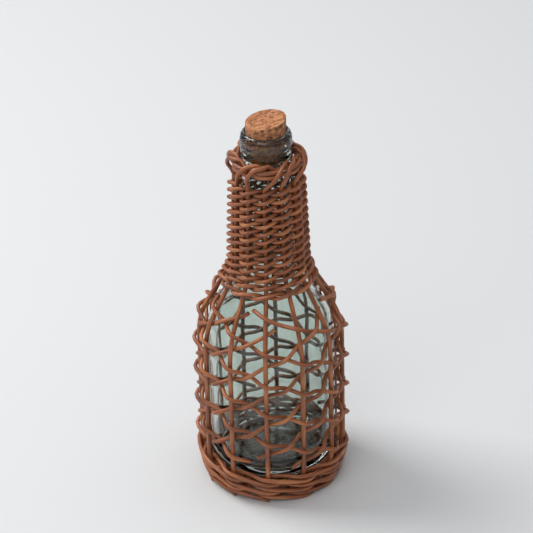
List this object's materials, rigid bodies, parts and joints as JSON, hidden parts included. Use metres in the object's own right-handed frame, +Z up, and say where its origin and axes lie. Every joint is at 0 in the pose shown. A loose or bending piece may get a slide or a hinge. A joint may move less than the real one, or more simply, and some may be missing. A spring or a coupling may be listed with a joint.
{
  "type": "cane-covered glass bottle",
  "caption": "Clear glass bottle with a cork, in a close cover of woven cane with an open lattice on the body.",
  "frame": {"origin": "on the bottle's axis, at the height of the surface it stands on", "axes": "+Z up along the bottle's axis, -Y towards the viewer of the picture, +X to the viewer's right"},
  "size_m": [0.095, 0.095, 0.2449],
  "materials": {
    "glass": "gloss",
    "cork": "rough",
    "cane": "satin"
  },
  "bodies": {
    "bottle": {"glass_bottle": "glass", "stake_01": "cane", "stake_02": "cane", "stake_03": "cane", "stake_04": "cane", "stake_05": "cane", "stake_06": "cane", "stake_07": "cane", "stake_08": "cane", "stake_09": "cane", "stake_10": "cane", "stake_11": "cane", "stake_12": "cane", "falling_rod_1": "cane", "falling_rod_2": "cane", "falling_rod_3": "cane", "falling_rod_4": "cane", "falling_rod_5": "cane", "climbing_rod_1": "cane", "climbing_rod_2": "cane", "climbing_rod_3": "cane", "climbing_rod_4": "cane", "climbing_rod_5": "cane", "climbing_rod_6": "cane", "climbing_rod_7": "cane", "neck_weaver_a": "cane", "neck_weaver_b": "cane", "foot_rod_1": "cane", "foot_rod_2": "cane", "foot_rod_3": "cane", "band_rod_1": "cane", "band_rod_2": "cane", "band_rod_3": "cane", "band_rod_4": "cane", "band_rod_5": "cane", "band_rod_6": "cane", "base_stick_1": "cane", "base_stick_2": "cane", "base_stick_3": "cane", "base_stick_4": "cane", "base_stick_5": "cane", "base_stick_6": "cane", "base_weaver_a": "cane", "base_weaver_b": "cane", "base_binder_a": "cane", "base_binder_b": "cane"},
    "stopper": {"cork_stopper": "cork"}
  },
  "joints": [
    {"name": "cork_lift", "type": "slide", "parent": "bottle", "child": "stopper", "axis": [0, 0, 1], "range_m": [0, 0.06]}
  ]
}
